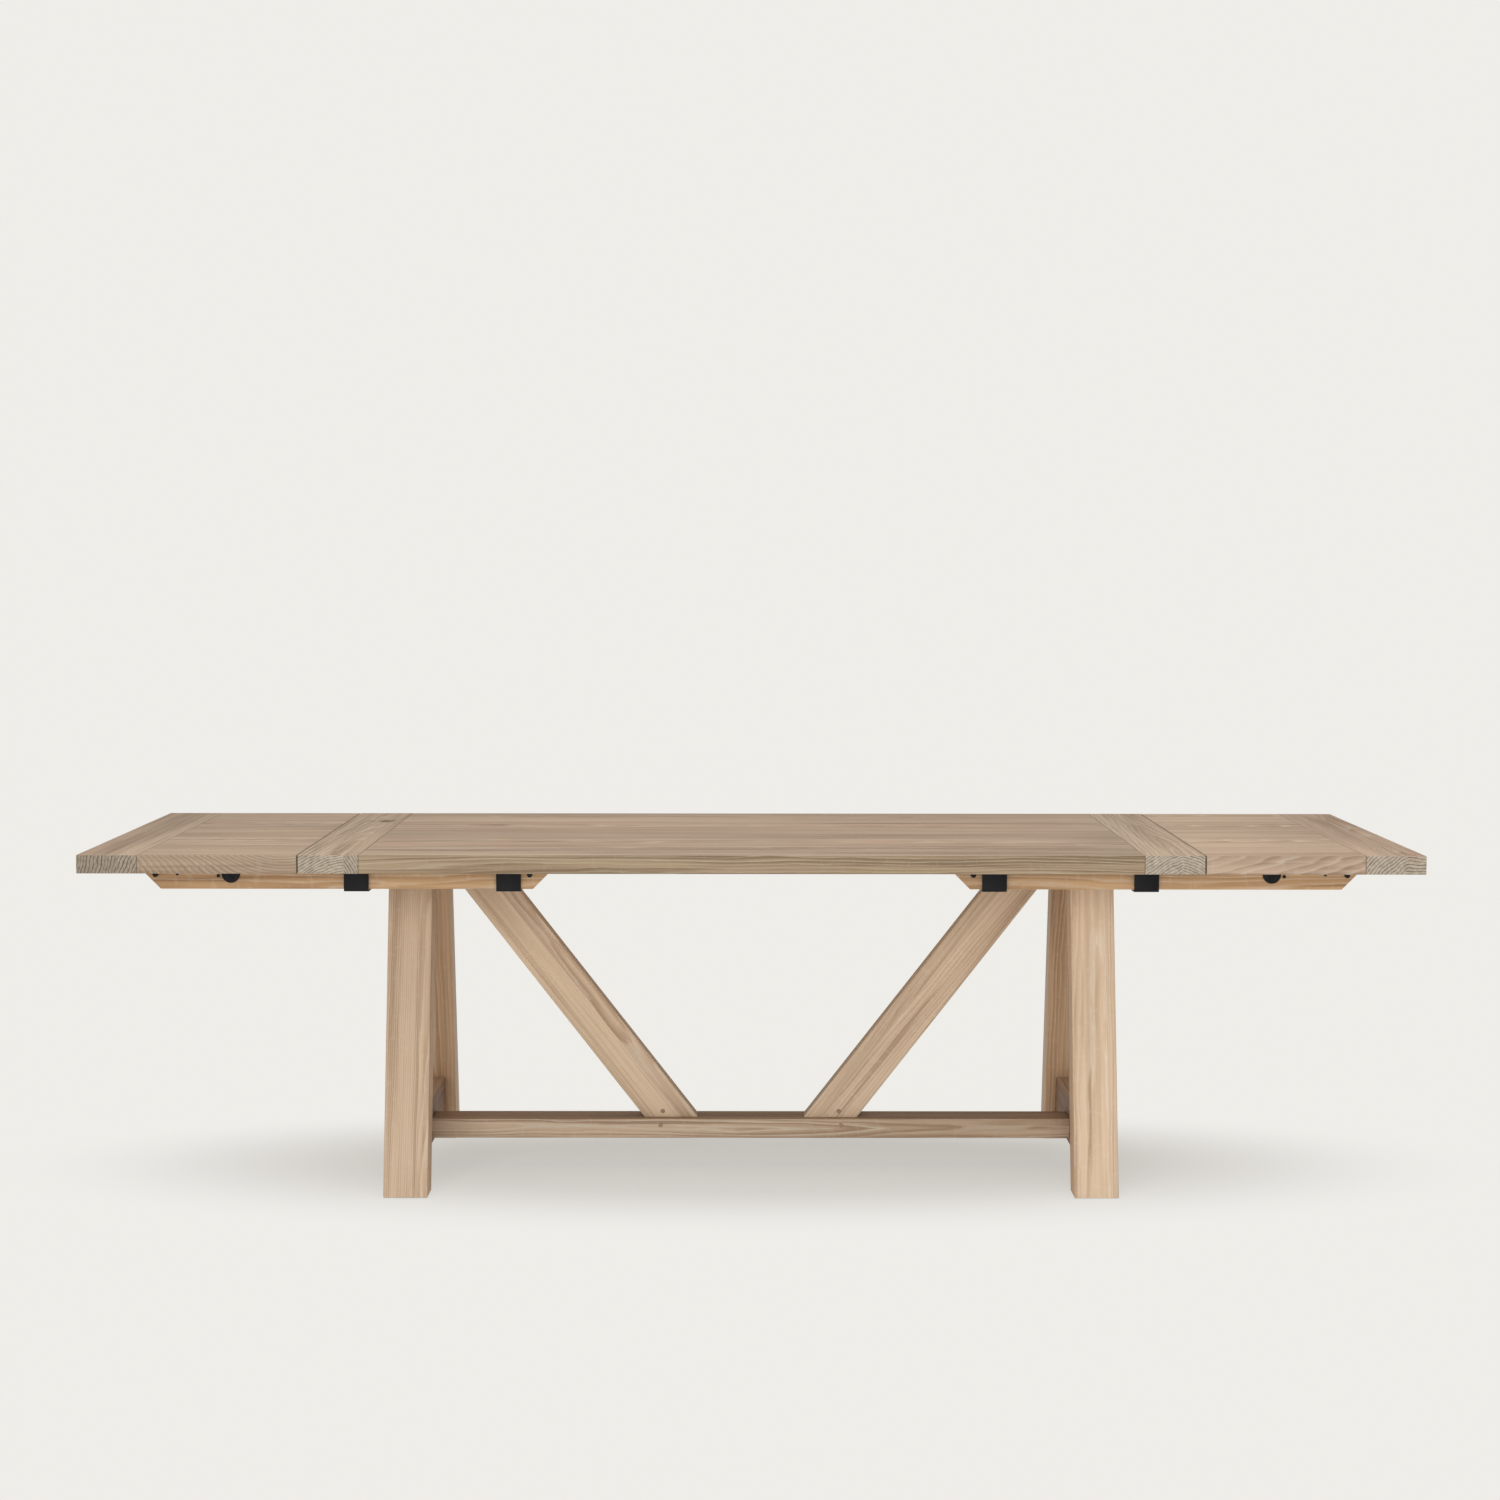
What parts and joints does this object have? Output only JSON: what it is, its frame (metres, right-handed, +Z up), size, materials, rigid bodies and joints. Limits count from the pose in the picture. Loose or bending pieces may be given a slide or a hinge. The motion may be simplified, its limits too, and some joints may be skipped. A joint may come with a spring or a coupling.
{
  "type": "extendable dining table",
  "caption": "Rectangular oak trestle table that extends: runners pull out at each end through steel straps and carry lift-off leaves held by turning catches.",
  "frame": {"origin": "on the floor, under the middle of the table", "axes": "+X along the table, +Y from front to rear, +Z up"},
  "size_m": [2.9, 0.975, 0.78],
  "materials": {
    "top_oak": "limed oak, matt oil",
    "trestle_oak": "limed oak, matt oil",
    "runner_oak": "oiled oak, matt",
    "peg_oak": "end grain oak, matt",
    "black_steel": "satin black powder coat",
    "zinc_steel": "zinc plated",
    "nylon": "matt"
  },
  "bodies": {
    "table": {"main_board_1": "top_oak", "main_board_2": "top_oak", "main_board_3": "top_oak", "main_board_4": "top_oak", "main_board_5": "top_oak", "main_board_6": "top_oak", "left_main_end_board": "top_oak", "right_main_end_board": "top_oak", "front_left_leg": "trestle_oak", "front_right_leg": "trestle_oak", "rear_left_leg": "trestle_oak", "rear_right_leg": "trestle_oak", "left_bearer": "trestle_oak", "right_bearer": "trestle_oak", "left_low_rail": "trestle_oak", "right_low_rail": "trestle_oak", "stretcher": "trestle_oak", "left_brace": "trestle_oak", "right_brace": "trestle_oak", "oak_pegs": "peg_oak", "stretcher_bolts": "black_steel", "barrel_nuts": "zinc_steel", "brace_screws": "zinc_steel", "top_screws": "zinc_steel", "foot_glides": "nylon", "front_left_straps": "black_steel", "front_right_straps": "black_steel", "rear_left_straps": "black_steel", "rear_right_straps": "black_steel", "strap_glides": "nylon", "strap_screws": "black_steel"},
    "left_leaf": {"left_leaf_board_1": "top_oak", "left_leaf_board_2": "top_oak", "left_leaf_board_3": "top_oak", "left_leaf_board_4": "top_oak", "left_leaf_board_5": "top_oak", "left_leaf_end_board": "top_oak", "left_leaf_batten": "runner_oak", "left_leaf_screws": "zinc_steel"},
    "right_leaf": {"right_leaf_board_1": "top_oak", "right_leaf_board_2": "top_oak", "right_leaf_board_3": "top_oak", "right_leaf_board_4": "top_oak", "right_leaf_board_5": "top_oak", "right_leaf_end_board": "top_oak", "right_leaf_batten": "runner_oak", "right_leaf_screws": "zinc_steel"},
    "front_left_slide": {"front_left_runner": "runner_oak", "front_left_runner_fittings": "black_steel"},
    "front_left_turn_catch": {"front_left_catch": "black_steel"},
    "front_right_slide": {"front_right_runner": "runner_oak", "front_right_runner_fittings": "black_steel"},
    "front_right_turn_catch": {"front_right_catch": "black_steel"},
    "rear_left_slide": {"rear_left_runner": "runner_oak", "rear_left_runner_fittings": "black_steel"},
    "rear_left_turn_catch": {"rear_left_catch": "black_steel"},
    "rear_right_slide": {"rear_right_runner": "runner_oak", "rear_right_runner_fittings": "black_steel"},
    "rear_right_turn_catch": {"rear_right_catch": "black_steel"}
  },
  "joints": [
    {"name": "front_left_runner_slide", "type": "slide", "parent": "table", "child": "front_left_slide", "axis": [-1, 0, 0], "range_m": [-0.405, 0.013]},
    {"name": "front_right_runner_slide", "type": "slide", "parent": "table", "child": "front_right_slide", "axis": [1, 0, 0], "range_m": [-0.405, 0.013]},
    {"name": "rear_left_runner_slide", "type": "slide", "parent": "table", "child": "rear_left_slide", "axis": [-1, 0, 0], "range_m": [-0.405, 0.013]},
    {"name": "rear_right_runner_slide", "type": "slide", "parent": "table", "child": "rear_right_slide", "axis": [1, 0, 0], "range_m": [-0.405, 0.013]},
    {"name": "left_leaf_lift", "type": "slide", "parent": "table", "child": "left_leaf", "axis": [0, 0, 1], "range_m": [0, 0.25]},
    {"name": "right_leaf_lift", "type": "slide", "parent": "table", "child": "right_leaf", "axis": [0, 0, 1], "range_m": [0, 0.25]},
    {"name": "front_left_catch_turn", "type": "hinge", "parent": "front_left_slide", "child": "front_left_turn_catch", "pos_m": [-1.136, -0.39155, 0.72], "axis": [0, -1, 0], "range_deg": [0, 24]},
    {"name": "front_right_catch_turn", "type": "hinge", "parent": "front_right_slide", "child": "front_right_turn_catch", "pos_m": [1.136, -0.39155, 0.72], "axis": [0, 1, 0], "range_deg": [0, 24]},
    {"name": "rear_left_catch_turn", "type": "hinge", "parent": "rear_left_slide", "child": "rear_left_turn_catch", "pos_m": [-1.136, 0.39155, 0.72], "axis": [0, -1, 0], "range_deg": [0, 24]},
    {"name": "rear_right_catch_turn", "type": "hinge", "parent": "rear_right_slide", "child": "rear_right_turn_catch", "pos_m": [1.136, 0.39155, 0.72], "axis": [0, 1, 0], "range_deg": [0, 24]}
  ]
}
